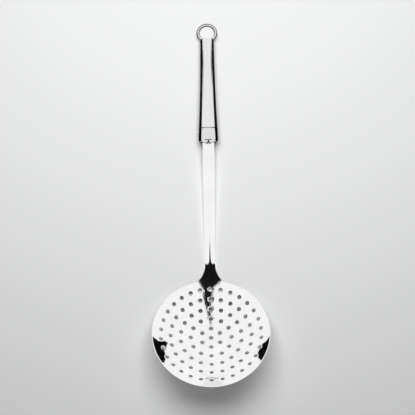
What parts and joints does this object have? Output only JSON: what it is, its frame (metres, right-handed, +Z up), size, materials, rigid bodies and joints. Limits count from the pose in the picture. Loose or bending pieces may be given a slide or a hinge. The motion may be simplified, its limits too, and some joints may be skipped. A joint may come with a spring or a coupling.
{
  "type": "slotted spoon",
  "caption": "Perforated skimmer spoon of polished steel: shallow round dish with drain holes, flat creased shaft, hollow tapered handle with a ferrule, and a swinging wire hanging ring.",
  "frame": {"origin": "middle of the footprint, on the surface the skimmer lies on", "axes": "+Y along the handle from the dish to the hanging ring, +Z up out of the open side of the dish, +X to the right seen from above with the ring at the top"},
  "size_m": [0.121, 0.37, 0.0713],
  "materials": {
    "polished_steel": "mirror-polished stainless steel",
    "ferrule_steel": "mirror-polished stainless steel",
    "satin_steel": "stainless steel, fine lengthwise satin",
    "cast_resin": "cast resin",
    "plug_steel": "plain stainless steel",
    "ring_steel": "polished stainless steel wire"
  },
  "bodies": {
    "utensil": {"blade": "polished_steel", "ferrule": "ferrule_steel", "handle_tube": "satin_steel", "tang_filler": "cast_resin", "ring_plug": "plug_steel"},
    "ring": {"hanging_ring": "ring_steel"}
  },
  "joints": [
    {"name": "ring_swing", "type": "hinge", "parent": "utensil", "child": "ring", "pos_m": [0, 0.16595, 0.00709], "axis": [1, 0, 0], "range_deg": [-33, 66]}
  ]
}
